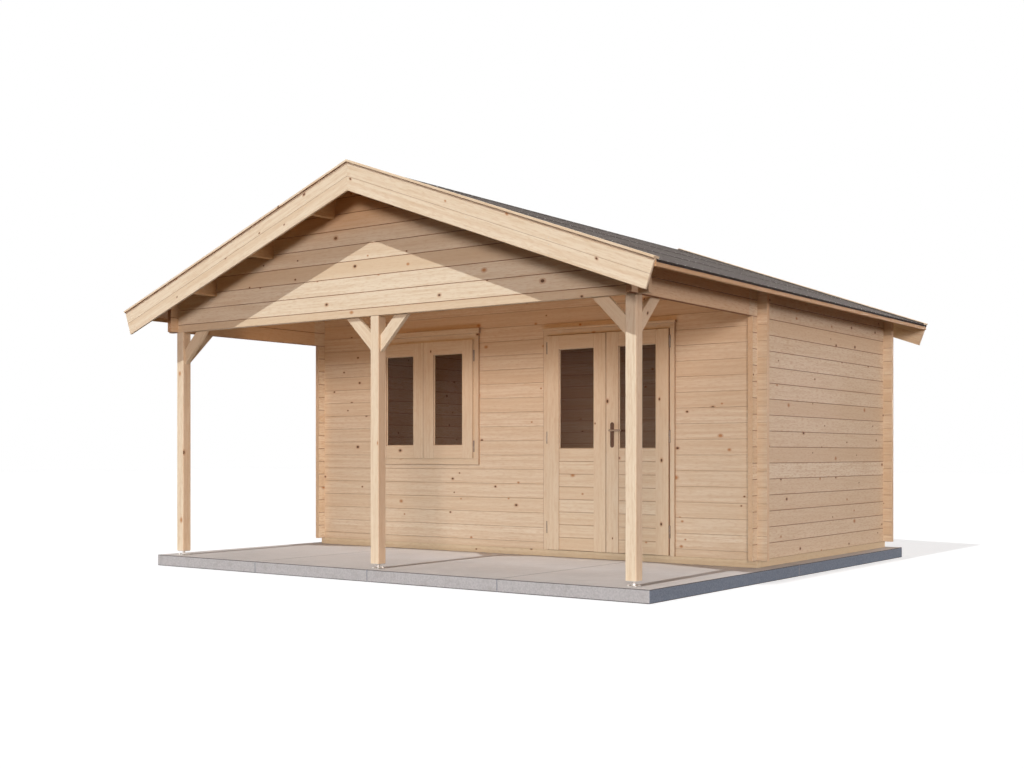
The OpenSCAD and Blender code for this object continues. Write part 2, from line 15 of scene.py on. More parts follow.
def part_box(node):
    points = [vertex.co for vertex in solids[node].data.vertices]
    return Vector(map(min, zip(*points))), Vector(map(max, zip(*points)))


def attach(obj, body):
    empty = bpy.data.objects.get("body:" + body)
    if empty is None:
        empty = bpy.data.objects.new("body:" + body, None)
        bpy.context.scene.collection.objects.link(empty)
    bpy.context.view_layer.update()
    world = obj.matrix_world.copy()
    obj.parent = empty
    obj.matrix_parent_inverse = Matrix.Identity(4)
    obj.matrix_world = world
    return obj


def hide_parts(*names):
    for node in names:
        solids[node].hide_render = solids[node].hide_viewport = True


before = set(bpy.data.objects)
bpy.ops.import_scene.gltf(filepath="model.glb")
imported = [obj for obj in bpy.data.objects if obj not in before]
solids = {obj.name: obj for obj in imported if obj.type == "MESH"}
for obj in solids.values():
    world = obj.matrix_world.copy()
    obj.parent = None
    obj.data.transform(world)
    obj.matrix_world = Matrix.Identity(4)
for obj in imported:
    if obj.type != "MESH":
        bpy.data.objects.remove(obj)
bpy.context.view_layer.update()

# %% [markdown]
# The camera stands on the ground in front of the right-hand corner, level, at about a metre high.
# A level camera keeps posts and corners upright in the picture. The frame is lifted with shift
# instead of tilting the camera, which is how a view camera photographs buildings.

# %% Camera
eye = bpy.data.cameras.new("eye")
eye.lens = 45.03
eye.sensor_width = 36.0
eye.shift_y = 0.0688
eye.clip_end = 200.0
camera = bpy.data.objects.new("camera", eye)
camera.location = (7.1564, -10.2897, 1.0422)
camera.rotation_euler = (math.radians(90), 0, math.radians(36.25))
bpy.context.scene.collection.objects.link(camera)
bpy.context.scene.camera = camera
bpy.context.scene.view_settings.view_transform = "Standard"
print("camera at", tuple(camera.location))

# %% [markdown]
# Shader maths reads best as plain sums, so one small class wraps a socket and lets + - * / add Math nodes.
# The alternative, a node group per formula, hides the sum behind boxes and is harder to change.

# %% Shader sums
class Value:
    """A number that changes over the surface, held by a node's output socket."""

    def __init__(self, finish, socket):
        self.finish = finish
        self.socket = socket

    def math(self, operation, *others):
        return self.finish.add("Math", {"operation": operation}, dict(enumerate((self, *others))))

    def __add__(self, other):
        return self.math("ADD", other)

    __radd__ = __add__

    def __sub__(self, other):
        return self.math("SUBTRACT", other)

    def __rsub__(self, other):
        return self.finish.add("Math", {"operation": "SUBTRACT"}, {0: other, 1: self})

    def __mul__(self, other):
        return self.math("MULTIPLY", other)

    __rmul__ = __mul__

    def __truediv__(self, other):
        return self.math("DIVIDE", other)

    def __pow__(self, other):
        return self.math("POWER", other)

    def __abs__(self):
        return self.math("ABSOLUTE")

    def under(self, limit):
        return self.math("LESS_THAN", limit)

    def over(self, limit):
        return self.math("GREATER_THAN", limit)

    def ease(self, low, high):
        """0 at low and 1 at high, with a soft start and stop; low may be the larger."""
        span = {"interpolation_type": "SMOOTHSTEP"}
        return self.finish.add("MapRange", span, {"Value": self, "From Min": low, "From Max": high})

    def out(self, name):
        """Another output of the same node."""
        return Value(self.finish, self.socket.node.outputs[name])


print("sums:", [name for name in vars(Value) if not name.startswith("_")])

# %% [markdown]
# A second class holds one material: it adds any other node with its settings first and its sockets after.
# Colours are written as in a paint list and turned into the linear numbers that a shader takes.

# %% Finishes
class Finish:
    """One material of the cabin, made of nodes."""

    def __init__(self, name):
        self.material = bpy.data.materials.new(name)
        self.material.use_nodes = True
        self.tree = self.material.node_tree
        self.shader = self.tree.nodes["Principled BSDF"]

    def add(self, kind, settings=None, sockets=None, out=0):
        node = self.tree.nodes.new("ShaderNode" + kind)
        for name, setting in (settings or {}).items():
            setattr(node, name, setting)
        for key, value in (sockets or {}).items():
            self.feed(node.inputs[key], value)
        return Value(self, node.outputs[out])

    def feed(self, socket, value):
        if isinstance(value, Value):
            self.tree.links.new(value.socket, socket)
        else:
            socket.default_value = value

    def place(self):
        """The point's x, y and z on its own object, so that a finish rides along with a moving leaf."""
        spot = self.add("SeparateXYZ", {}, {0: self.add("TexCoord", out="Object")})
        return spot, spot.out("Y"), spot.out("Z")

    def facing(self):
        """How far the surface faces x, y and z, without sign."""
        face = self.add("SeparateXYZ", {}, {0: self.add("TexCoord", out="Normal")})
        return abs(face), abs(face.out("Y")), abs(face.out("Z"))

    def underside(self):
        """1 where the surface looks down."""
        face = self.add("SeparateXYZ", {}, {0: self.add("TexCoord", out="Normal")})
        return face.out("Z").under(-0.5)

    def vector(self, x, y, z):
        return self.add("CombineXYZ", {}, {0: x, 1: y, 2: z})

    def arrows(self, operation, first, second, out=0):
        return self.add("VectorMath", {"operation": operation}, {0: first, 1: second}, out)

    def parts(self, colour):
        red = self.add("SeparateColor", {}, {0: colour})
        return red, red.out("Green"), red.out("Blue")

    def noise(self, x, y, z, detail=2.0):
        sockets = {"Vector": self.vector(x, y, z), "Scale": 1.0, "Detail": detail, "Roughness": 0.55}
        return self.add("TexNoise", {}, sockets)

    def luck(self, seed):
        """Three random numbers that are the same all over one piece."""
        return self.parts(self.add("TexWhiteNoise", {"noise_dimensions": "1D"}, {"W": seed}, "Color"))

    def blend(self, share, first, second):
        return self.add("Mix", {"data_type": "RGBA"}, {0: share, 6: first, 7: second}, 2)

    def pick(self, share, first, second):
        """first where share is 0 and second where it is 1, for plain numbers."""
        return first + share * (second - first)

    def surface(self, colour, roughness, height=None, depth=0.001, strength=0.5):
        self.feed(self.shader.inputs["Base Color"], colour)
        self.feed(self.shader.inputs["Roughness"], roughness)
        if height is not None:
            sockets = {"Strength": strength, "Distance": depth, "Height": height}
            self.feed(self.shader.inputs["Normal"], self.add("Bump", {}, sockets))

    def fixed(self, **sockets):
        for name, value in sockets.items():
            self.shader.inputs[name.replace("_", " ")].default_value = value

    def paint(self, *names):
        for name in names:
            mesh = solids[name].data
            mesh.materials.clear()
            mesh.materials.append(self.material)


def begin(name):
    """A new finish, and the place of the points that it covers."""
    finish = Finish(name)
    return finish, *finish.place()


def tone(written):
    """A written colour as linear numbers."""
    parts = [int(written[i:i + 2], 16) / 255 for i in (1, 3, 5)]
    linear = [p / 12.92 if p <= 0.04045 else ((p + 0.055) / 1.055) ** 2.4 for p in parts]
    return (*linear, 1.0)


print("white is", tone("#FFFFFF"), "and mid grey is", tone("#808080"))

# %% [markdown]
# The sun stands almost straight in front of the cabin, 48 degrees up, and makes the bright triangle on the
# canopy's gable. A bright cloud, low and to the right, lights the front wall in under the canopy and the side
# wall, and gives the second, softer edge of shade under the overhang. Three stretches of low sky, at the
# right, the back and the left, light those sides.

# %% Sun and clouds
def far_lamp(name, energy, colour, disc, height, turn):
    """A lamp far away: its height over the horizon and its turn to the right of straight in front."""
    lamp = bpy.data.lights.new(name, "SUN")
    lamp.energy = energy
    lamp.color = colour
    lamp.angle = math.radians(disc)
    shine = bpy.data.objects.new(name, lamp)
    shine.rotation_euler = (math.radians(90 - height), 0, math.radians(turn))
    bpy.context.scene.collection.objects.link(shine)


far_lamp("sun", 2.27, (0.96, 1.0, 1.03), 0.7, 48.5, 1.8)
far_lamp("bright_cloud", 1.58, (1.0, 0.86, 0.83), 13, 8, 30)
far_lamp("open_sky", 0.74, (1.0, 0.87, 0.87), 10, 6, 88)
far_lamp("back_sky", 2.0, (1.0, 0.95, 0.92), 12, 7, 180)
far_lamp("left_sky", 1.1, (1.0, 0.93, 0.92), 15, 8, 270)
print("far lamps:", [made.name for made in bpy.data.lights])

# %% [markdown]
# Two long panels under the canopy stand for light that is handed on there: warm from the wood and cool from
# the slabs. The panels themselves stay unseen, in the picture and in the panes.

# %% Glow under the canopy
def panel_lamp(name, energy, colour, size, place, tilt):
    """A plain lamp panel near the cabin: size is length along x and width, tilt 0 shines straight down."""
    panel = bpy.data.lights.new(name, "AREA")
    panel.shape = "RECTANGLE"
    panel.size, panel.size_y = size
    panel.energy = energy
    panel.color = colour
    lamp = bpy.data.objects.new(name, panel)
    lamp.location = place
    lamp.rotation_euler = (math.radians(tilt), 0, 0)
    lamp.visible_camera = False
    lamp.visible_glossy = False
    bpy.context.scene.collection.objects.link(lamp)


panel_lamp("canopy_glow", 6.6, (1.0, 0.55, 0.29), (4.6, 0.15), (0.0, -1.75, 2.0), 90)
panel_lamp("slab_glow", 8.6, (0.57, 0.82, 1.08), (4.8, 0.3), (0.5, -1.8, 0.36), 132)
print("lamps with the panels:", len(bpy.data.lights))

# %% [markdown]
# What is left for the sky itself is little, so that the purlins and the boards under the overhang stay dark.
# An even sky would light all alike. Seen directly, it is plain white.

# %% Sky
HAZE = (0.13, 0.1, 0.09, 1.0)
ZENITH = (0.24, 0.23, 0.24, 1.0)
WHITE = (1.0, 1.0, 1.0, 1.0)


class Air(Finish):
    """The world's nodes, added in the same way as a material's."""

    def __init__(self, world):
        world.use_nodes = True
        self.tree = world.node_tree


def seen_directly(finish):
    """1 for rays from the camera, from a mirror or through glass, and 0 for light between surfaces."""
    path = finish.add("LightPath", out="Is Camera Ray")
    return path.math("MAXIMUM", path.out("Is Glossy Ray").math("MAXIMUM", path.out("Is Transmission Ray")))


world = bpy.data.worlds.new("day")
bpy.context.scene.world = world
air = Air(world)
height = air.add("SeparateXYZ", {}, {0: air.add("TexCoord", out="Generated")}).out("Z")
glow = air.blend(height.ease(0.5, 0.2), ZENITH, HAZE)
sky = air.blend(seen_directly(air), glow, WHITE)
air.feed(world.node_tree.nodes["Background"].inputs["Color"], sky)
print("haze:", HAZE[:3], "zenith:", ZENITH[:3])

# %% [markdown]
# Behind the glass the room is dim but not black, because wood passes daylight on from wall to wall many
# times. One weak lamp under the ridge stands for that, so that the panes show the logs of the back wall.

# %% Room light
panel_lamp("room", 6.4, (1.0, 0.94, 0.94), (3.2, 1.6), (0.25, 0.9, 2.35), 0)
print("lamps:", [made.name for made in bpy.data.lights])

# %% [markdown]
# The floor is plain and pale. Seen directly it glows a little and takes a light shadow of the cabin; as a
# light source for the cabin it is a duller grey, or its bounce would wash out the shade under the eaves.

# %% Floor
FLOOR_HALF = 60.0
ground = Finish("pale_floor")
direct = seen_directly(ground)
shown = ground.blend(direct, tone("#452C1C"), tone("#AAAAAA"))
ground.feed(ground.shader.inputs["Base Color"], shown)
glow = ground.blend(direct, (0.0, 0.0, 0.0, 1.0), (0.66, 0.66, 0.66, 1.0))
ground.feed(ground.shader.inputs["Emission Color"], glow)
ground.fixed(Emission_Strength=1.0, Roughness=0.9, Specular_IOR_Level=0.0)
sheet = bmesh.new()
bmesh.ops.create_grid(sheet, x_segments=8, y_segments=8, size=FLOOR_HALF)
floor_mesh = bpy.data.meshes.new("floor")
sheet.to_mesh(floor_mesh)
sheet.free()
floor_mesh.materials.append(ground.material)
floor = bpy.data.objects.new("floor", floor_mesh)
floor.location.z = -0.002
bpy.context.scene.collection.objects.link(floor)
print("floor side:", 2 * FLOOR_HALF, "m")

# %% [markdown]
# All the timber is planed pine. A sawn piece shows the tree's rings where the saw crossed them, as long
# flames or fine lines, plus fibres along the length and a knot where a branch grew. A wood picture would
# repeat and could not turn with each board, so the recipe works from the piece itself: how far along it,
# across it and into it a point lies, and a number for the piece, which picks its own stretch of tree.
# Dark joints, painted shade, painted warm light and end grain are laid over that.

# %% Pine recipe
# The joint tone darkens real joints and is also painted shade; the warm tone is painted warm bounce light.
PINE = {"pale": tone("#EADCC2"), "late": tone("#CFB089"), "streak": tone("#CDB08A"), "dull": tone("#D8BF9C"),
        "knot": tone("#4F2F1B"), "halo": tone("#B98456"), "end": tone("#DDBB92"), "joint": tone("#8A4F2E"),
        "warm": tone("#E0A868")}
# A darker, more orange copy of the pine for roof boards, purlins and eave boards: painted shade for wood
# under the roof.
SHADED_ROOF_PINE = dict(PINE, pale=tone("#DBBB92"), late=tone("#BC9060"), streak=tone("#CAA376"), dull=tone("#C69C6C"))
KNOT_RUN = 0.62
KNOT_ROW = 0.145
RING = 0.0046
TURN = 6.2832


def pine(finish, along, across, depth, seed, tones=PINE, knots=0.5, shade=None, end=None, warm=None,
         rough=0.4):
    """Planed pine: along, across and depth are metres on the piece, seed is the piece's own number.

    knots is the share of branches that show and rough the strength of the short flecks. shade and end say how
    far the tone of a joint or of painted shade and that of end grain cover the wood; the warm tone after them
    is painted warm light.
    """
    luck = finish.luck(seed)
    run = along + 23 * luck[0]
    cell = finish.vector(run / KNOT_RUN, across / KNOT_ROW + 31 * luck[1], 0.0)
    grid = {"Vector": cell, "Scale": 1.0, "Randomness": 0.9}
    branch = finish.add("TexVoronoi", {"voronoi_dimensions": "2D"}, grid, "Position")
    off_centre = finish.arrows("SUBTRACT", branch, cell)
    offset = finish.arrows("MULTIPLY", off_centre, (KNOT_RUN * 0.7, KNOT_ROW, 0.0))
    away = finish.arrows("LENGTH", offset, (0.0, 0.0, 0.0), "Value")
    chance, girth, fresh = finish.parts(branch.out("Color"))
    radius = (0.006 + 0.009 * girth * girth) * chance.under(knots)
    knot = away.ease(radius, radius * 0.65)
    halo = away.ease(radius * 2.0, radius)
    wander = 0.04 * (finish.noise(run * 0.55, 9 * luck[2], 0.0, 1.0) - 0.5)
    side = across + 0.09 * (luck[1] - 0.5) + wander
    deep = depth + 0.015 + 0.05 * luck[2]
    growth = (side * side + deep * deep) ** 0.5 + 0.006 * halo
    ring = ((growth / RING * TURN).math("SINE") * 0.5 + 0.5) ** 3.0
    streak = finish.noise(run * 2.4, across * 52, depth * 52, 4.0)
    fleck = finish.noise(run * 16, across * 95, depth * 95, 2.0)
    fibre = finish.noise(run * 16, across * 520, depth * 520, 1.0)
    colour = finish.blend(0.36 * ring, tones["pale"], tones["late"])
    colour = finish.blend(streak.ease(0.4, 0.7) * 0.4, colour, tones["streak"])
    colour = finish.blend(fleck.ease(0.45, 0.72) * rough, colour, tones["late"])
    colour = finish.blend(luck[0] * 0.5, colour, tones["dull"])
    colour = finish.blend(halo * 0.5, colour, tones["halo"])
    branch_end = finish.blend(fresh.over(0.7), tones["knot"], tones["halo"])
    colour = finish.blend(knot * 0.9, colour, branch_end)
    if end is not None:
        colour = finish.blend(end * 0.6, colour, tones["end"])
    if warm is not None:
        colour = finish.blend(warm, colour, tones["warm"])
    if shade is not None:
        colour = finish.blend(shade, colour, tones["joint"])
    height = 0.5 * fibre - 0.35 * ring - 0.5 * knot
    finish.surface(colour, 0.5 + 0.2 * fibre, height, depth=0.0007, strength=0.6)
    finish.fixed(Specular_IOR_Level=0.28)
    return finish


print("pine tones:", len(PINE), "rings every", RING * 1000, "mm")

# %% [markdown]
# The walls are logs 135 mm high. Along Y, the side logs lie in full courses from the foundation; along X,
# the front and back logs lie half a log lower, so that the corners lap. The log's number comes from the
# height of the point, and the chamfers beside each joint hold some dust and shade.

# %% Log walls
LOG = 0.135
Z_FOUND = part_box("foundation_beams")[1].z
Y_BEAM_ENDS = -2.3


def log_wall(name, lengthwise, half_lower, first, dust_and_shade, mark=None, warm_light_mark=None, rough=0.4):
    """One wall's pine: first is its lowest log's number and dust how dark its joints are.

    mark adds painted shade and the next argument painted warm light, each worked out from the point's x, y
    and z.
    """
    finish, x, y, z = begin(name)
    course = (z - Z_FOUND) / LOG + (0.5 if half_lower else 0.0)
    log = course.math("FLOOR")
    across = (course - log - 0.5) * LOG
    faces = finish.facing()
    along, depth, facing = (x, y, faces[0]) if lengthwise == "x" else (y, abs(x), faces[1])
    end = facing.over(0.7)
    # Dust and painted shade in the chamfers beside each joint.
    shade = abs(across).ease(LOG / 2 - 0.004, LOG / 2 - 0.0015) * (1 - end) * dust_and_shade
    # Painted shade: the end grain at the beams' outer ends under the canopy takes more of the joint tone.
    if lengthwise == "y":
        shade = shade + end * y.under(Y_BEAM_ENDS) * 0.35
    if mark:
        shade = shade.math("MAXIMUM", mark(x, y, z))
    warm = warm_light_mark(x, y, z) if warm_light_mark else None
    knots = 0.55 * (1 - end)
    return pine(finish, along, across, depth, log + first, PINE, knots, shade, end, warm, rough)


print("log courses start at", round(Z_FOUND, 4))

# %% [markdown]
# Some light and shade is painted onto the logs: a dark line of painted shade on the front wall beside the
# casings, and a warmer tone of painted bounce light on wood close under the roof. Each mark is a sum of the
# point's place.

# %% Marked walls
Y_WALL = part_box("front_wall")[0].y
CAP_OVER = 0.012
DOOR_CAP = 0.022


def casing_shade_line(x, y, z):
    """Painted shade: a dark line on the logs under the window's casing and left of the door's."""
    low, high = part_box("window_casing")
    under = z.under(low.z) * z.over(low.z - 0.009) * x.over(low.x + CAP_OVER) * x.under(high.x - CAP_OVER)
    low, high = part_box("door_casing")
    beside = x.under(low.x + CAP_OVER) * x.ease(low.x - 0.01, low.x - 0.003) * z.under(high.z - DOOR_CAP)
    return (under + beside) * y.under(Y_WALL + 0.01) * 0.4


def beam_warm_light(x, y, z):
    """Painted warm bounce light on the beams under the canopy, which makes them warmer than the walls."""
    return y.under(Y_WALL - 0.15) * 0.28


def peak_warm_light(x, y, z):
    """Painted warm bounce light on the top of the gable, close under the roof."""
    return z.ease(2.8, 3.05) * 0.52


def ceiling_warm_light(x, y, z):
    """Painted warm bounce light on the front wall close under the canopy's ceiling."""
    return z.ease(1.95, 2.25) * 0.16


front = log_wall("front_wall_pine", "x", True, 3.0, 0.25, mark=casing_shade_line, warm_light_mark=ceiling_warm_light)
front.paint("front_wall", "front_gable")
log_wall("back_wall_pine", "x", True, 130.0, 0.5).paint("back_wall", "back_gable")
log_wall("canopy_gable_pine", "x", True, 260.0, 0.8, warm_light_mark=peak_warm_light).paint("canopy_gable")
log_wall("left_wall_pine", "y", False, 390.0, 0.8, warm_light_mark=beam_warm_light, rough=0.75).paint("left_wall")
log_wall("right_wall_pine", "y", False, 520.0, 0.8, warm_light_mark=beam_warm_light, rough=0.75).paint("right_wall")
print("walls and gables:", [name for name in solids if name.endswith(("_wall", "_gable"))])

# %% [markdown]
# Posts, braces, purlins and the roof's trim are sawn from the same pine. Each is one piece of wood, so its
# grain follows its own length: up a post, at 45 degrees in a brace, down the slope on a bargeboard.

# %% Posts and braces
POST = dict(PINE, dull=tone("#E3D0B3"))
DIAGONAL = 0.7071
for number, side in enumerate(("left", "centre", "right")):
    low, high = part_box(side + "_post")
    middle = (low + high) / 2
    finish, x, y, z = begin(side + "_post_pine")
    flank = finish.facing()[0].over(0.7)
    wide = finish.pick(flank, x - middle.x, y - middle.y + 0.2)
    deep = finish.pick(flank, y - middle.y, x - middle.x)
    # Painted shade on the centre post's flank and painted warm light on every post's flank, the face that
    # looks along x.
    shade = flank * 0.13 if side == "centre" else None
    warm = flank * 0.15
    pine(finish, z, wide, deep, 700.0 + number, POST, 0.35, shade, warm=warm).paint(side + "_post")
    finish, x, y, z = begin(side + "_brace_pine")
    out_x = x - middle.x
    reach = abs(out_x) + abs(y - middle.y)
    seed = 710.0 + 3 * number + out_x.over(0.05) + 2 * out_x.under(-0.05)
    along = (reach + z) * DIAGONAL
    across = (z - reach) * DIAGONAL
    pine(finish, along, across, y, seed, knots=0.35).paint(side + "_post_braces")

# %% [markdown]
# On the roof, length runs down the slope. One helper gives the distance from the ridge and the height over
# the boards' underside, so that bargeboards and cover strips keep their grain parallel to their edges.

# %% Roof timbers
PITCH = math.radians(20)
SLOPE = math.tan(PITCH)
X_SIDE = 2.515
Z_SIDE = 2.455
Z_RIDGE = Z_SIDE + X_SIDE * SLOPE
BARGE_TOP = 0.022
BARGE_BOARD = 0.1075


def slope_grain(finish):
    """Distance from the ridge down the slope, and height over the boards' underside, at any point."""
    x, y, z = finish.place()
    down = abs(x) / math.cos(PITCH)
    over = (z + abs(x) * SLOPE - Z_RIDGE) * math.cos(PITCH)
    return x, y, down, over


for number, side in enumerate(("front", "back")):
    finish = Finish(side + "_bargeboard_pine")
    x, y, down, over = slope_grain(finish)
    board = ((over - BARGE_TOP) / BARGE_BOARD).math("FLOOR")
    shade = abs(over - (BARGE_TOP - BARGE_BOARD)).ease(0.0025, 0.0008) * 0.5
    seed = board * 3 + x.over(0.0) + 730 + 20 * number
    pine(finish, down, over, y, seed, shade=shade).paint(side + "_bargeboards")

finish = Finish("cover_strip_pine")
x, y, down, over = slope_grain(finish)
# Painted shade on the strips' undersides.
strip_underside_shade = finish.underside() * 0.75
pine(finish, down, y, over, x.over(0.0) + 2 * y.over(0.0) + 770, knots=0.3, shade=strip_underside_shade).paint("cover_strips")
finish, x, y, z = begin("eave_board_pine")
# Painted shade on the eave boards' faces that look along x.
eave_face_shade = finish.facing()[0] * 0.15
pine(finish, y, z, abs(x), x.over(0.0) + 780, SHADED_ROOF_PINE, 0.3, shade=eave_face_shade).paint("eave_boards")
finish, x, y, z = begin("purlin_pine")
faces = finish.facing()
wide = finish.pick(faces[2].over(0.7), z, x)
pine(finish, y, wide, x, (x / 0.7).math("FLOOR") + 790, SHADED_ROOF_PINE, end=faces[1].over(0.7)).paint("purlins")
print("ridge of the boards' underside:", round(Z_RIDGE, 4), "m")

# %% [markdown]
# Mesh pieces share a few workshop helpers: a bar between two end faces, a turned piece for screws and bolts,
# and one call that makes the object, gives it its finish and lets it ride on its body.

# %% Mesh helpers
def bar(mesh, start, end):
    """A straight bar between two ends, each a list of the section's corners in the same order."""
    near = [mesh.verts.new(p) for p in start]
    far = [mesh.verts.new(p) for p in end]
    mesh.faces.new(list(reversed(near)))
    mesh.faces.new(far)
    for i in range(len(near)):
        j = (i + 1) % len(near)
        mesh.faces.new((near[i], near[j], far[j], far[i]))


def turned(mesh, centre, axis, profile, sides, turn=0.0):
    """A turned piece: profile holds (radius, height) from the middle of its face to its rim."""
    aim = Vector(axis).normalized().to_track_quat("Z", "Y").to_matrix().to_4x4()
    stand = Matrix.Translation(centre) @ aim
    angles = [turn + 2 * math.pi * i / sides for i in range(sides)]
    rows = []
    for radius, height in profile:
        points = [(radius * math.cos(a), radius * math.sin(a), height) for a in angles]
        rows.append([mesh.verts.new(stand @ Vector(p)) for p in points])
    mesh.faces.new(rows[0])
    mesh.faces.new(list(reversed(rows[-1])))
    for upper, lower in zip(rows, rows[1:]):
        for i in range(sides):
            j = (i + 1) % sides
            mesh.faces.new((upper[i], lower[i], lower[j], upper[j]))


def piece(name, mesh, finish, body, slot, smooth=False):
    """Turns a bmesh into an object that rides on a body."""
    bmesh.ops.recalc_face_normals(mesh, faces=mesh.faces)
    data = bpy.data.meshes.new(name)
    mesh.to_mesh(data)
    mesh.free()
    data.materials.append(finish.material)
    for polygon in data.polygons:
        polygon.use_smooth = smooth
    made = bpy.data.objects.new(name, data)
    bpy.context.scene.collection.objects.link(made)
    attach(made, body)
    print(name, len(data.polygons), "faces")
    return made


print("helpers:", [helper.__name__ for helper in (bar, turned, piece)])

# %% [markdown]
# The roof boards run from ridge to eave and show from below, under the canopy and the overhang. Each is a
# tongued board with a small V at its lower edges. A bump could paint the Vs, but then the eave would show a
# straight edge, so every board is its own bar.

# %% Roof boards
BOARD = 0.0962
DECK = 0.019
VEE = 0.0045
FIT = 0.0003


def on_slope(x, y, n, side):
    """The point at distance x from the ridge, measured level, and n over the boards' underside."""
    return Vector((side * x, y, Z_RIDGE - x * SLOPE + n / math.cos(PITCH)))


def deck_board(mesh, side, y0, y1, x0, x1):
    outline = [(y0 + FIT, DECK), (y0 + FIT, VEE), (y0 + FIT + VEE, 0), (y1 - FIT - VEE, 0),
               (y1 - FIT, VEE), (y1 - FIT, DECK)]
    bar(mesh, *[[on_slope(x, y, n, side) for y, n in outline] for x in (x0, x1)])


deck_low, deck_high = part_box("roof_deck")
deck_count = round((deck_high.y - deck_low.y) / BOARD)
deck_step = (deck_high.y - deck_low.y) / deck_count
finish = Finish("roof_board_pine")
x, y, down, over = slope_grain(finish)
row = ((y - deck_low.y) / deck_step).math("FLOOR")
across = y - deck_low.y - (row + 0.5) * deck_step
eave_shade = abs(x).ease(X_SIDE - 0.015, X_SIDE + 0.045) * 0.42
pine(finish, down, across, over, row + 80 * x.over(0.0) + 810, SHADED_ROOF_PINE, shade=eave_shade)
deck = bmesh.new()
for side in (-1, 1):
    for i in range(deck_count):
        start = deck_low.y + i * deck_step
        deck_board(deck, side, start, start + deck_step, FIT, deck_high.x)
roof_boards = piece("roof_boards", deck, finish, "cabin", "roof_timber")
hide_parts("roof_deck")

# %% [markdown]
# The floor inside shows through the glass and when the doors stand open: planed boards across the joists,
# with a fine joint between them.

# %% Floor boards
PLANK = 0.114
PLANK_GAP = 0.001
PLANK_EDGE = 0.0015
floor_low, floor_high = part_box("floor_boards")
plank_count = round((floor_high.y - floor_low.y) / PLANK)
plank_step = (floor_high.y - floor_low.y) / plank_count
finish, x, y, z = begin("floor_board_pine")
row = ((y - floor_low.y) / plank_step).math("FLOOR")
pine(finish, x, y - floor_low.y - (row + 0.5) * plank_step, z, row + 900)
planks = bmesh.new()
for i in range(plank_count):
    y0 = floor_low.y + i * plank_step + PLANK_GAP / 2
    y1 = y0 + plank_step - PLANK_GAP
    shoulder = floor_high.z - PLANK_EDGE
    outline = [(y0, floor_low.z), (y1, floor_low.z), (y1, shoulder), (y1 - PLANK_EDGE, floor_high.z),
               (y0 + PLANK_EDGE, floor_high.z), (y0, shoulder)]
    bar(planks, *[[(end, *corner) for corner in outline] for end in (floor_low.x, floor_high.x)])
floor_planks = piece("floor_planks", planks, finish, "cabin", "floor_timber")
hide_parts("floor_boards")

# %% [markdown]
# Doors and window are joinery: uprights with the grain standing, rails and heads with the grain lying.
# A piece's box tells which is which, so one mask per node turns the grain. Faces that look sideways, up or
# down, at seams, gaps and edges, are painted darker as shade.

# %% Joinery
JOINERY = dict(PINE, pale=tone("#E4D5B9"), dull=tone("#DAC2A0"))


def joinery(name, node, lying, middle, seed):
    """lying is 1 on rails and heads; middle is the x that parts the left upright from the right one."""
    finish, x, y, z = begin(name)
    flat = lying(x, z)
    along = finish.pick(flat, z, x)
    across = finish.pick(flat, x - middle, z)
    number = seed + flat * 2 + x.over(middle) * (1 - flat) + 5 * (z.over(1.2) * flat)
    faces = finish.facing()
    # Painted shade: faces that look along x or z take the joint tone.
    edge = faces[0].over(0.7).math("MAXIMUM", faces[2].over(0.7)) * 0.6
    pine(finish, along, across, y, number, JOINERY, 0.35, shade=edge).paint(node)


def between(low, high):
    return lambda x, z: x.over(low) * x.under(high)


def heads(low, high):
    return lambda x, z: z.under(low).math("MAXIMUM", z.over(high))


print("joinery tones:", len(JOINERY))

# %% [markdown]
# A door leaf has stiles and a top rail round its glass, and lying boards below it with a V between them.

# %% Door leaves
STILE = 0.128
LEAF_BOARDS = 8
for number, side in enumerate(("left", "right")):
    low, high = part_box(side + "_leaf_frame")
    rails = between(low.x + STILE, high.x - STILE)
    joinery(side + "_leaf_pine", side + "_leaf_frame", rails, (low.x + high.x) / 2, 1000.0 + 20 * number)
    low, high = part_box(side + "_leaf_boards")
    finish, x, y, z = begin(side + "_leaf_board_pine")
    rise = (high.z - low.z) / LEAF_BOARDS
    level = (z - low.z) / rise
    row = level.math("FLOOR")
    across = (level - row - 0.5) * rise
    shade = abs(across).ease(rise / 2 - 0.004, rise / 2 - 0.0015) * 0.5
    seed = row + 1040 + 20 * number
    pine(finish, x, across, y, seed, JOINERY, 0.35, shade=shade).paint(side + "_leaf_boards")
print("stiles are", STILE * 1000, "mm wide")

# %% [markdown]
# The window's casements mirror each other. Frames and casings have one lying part above and mostly one below.

# %% Window, frames and casings
CASEMENT = 0.617
INNER_SILL = 0.99
INNER_HEAD = 2.15
low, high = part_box("window_casements")
window_middle = (low.x + high.x) / 2
sash_low = (high.x - low.x) / 2 - CASEMENT + STILE
sash_high = (high.x - low.x) / 2 - STILE


def casement_rails(x, z):
    out = abs(x - window_middle)
    return out.over(sash_low) * out.under(sash_high)


joinery("casement_pine", "window_casements", casement_rails, window_middle, 1080.0)

# Each row: node, height of its lower and of its upper lying part, seed.
FRAMES = (("door_frame", 0.028, 0.035, 1100.0),
          ("door_casing", 0.0, 0.067, 1110.0),
          ("window_frame", 0.035, 0.035, 1120.0),
          ("window_casing", 0.055, 0.105, 1130.0))
for node, foot, head, seed in FRAMES:
    low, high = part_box(node)
    joinery(node + "_pine", node, heads(low.z + foot, high.z - head), (low.x + high.x) / 2, seed)
joinery("inner_casing_pine", "inner_casings", heads(INNER_SILL, INNER_HEAD), 0.0, 1140.0)
print("frames:", [row[0] for row in FRAMES])

# %% [markdown]
# The beams under the walls and the joists are pressure-treated, which leaves the pine a shade greener and
# duller. The beams at the sides run along Y and those at front and back along X.

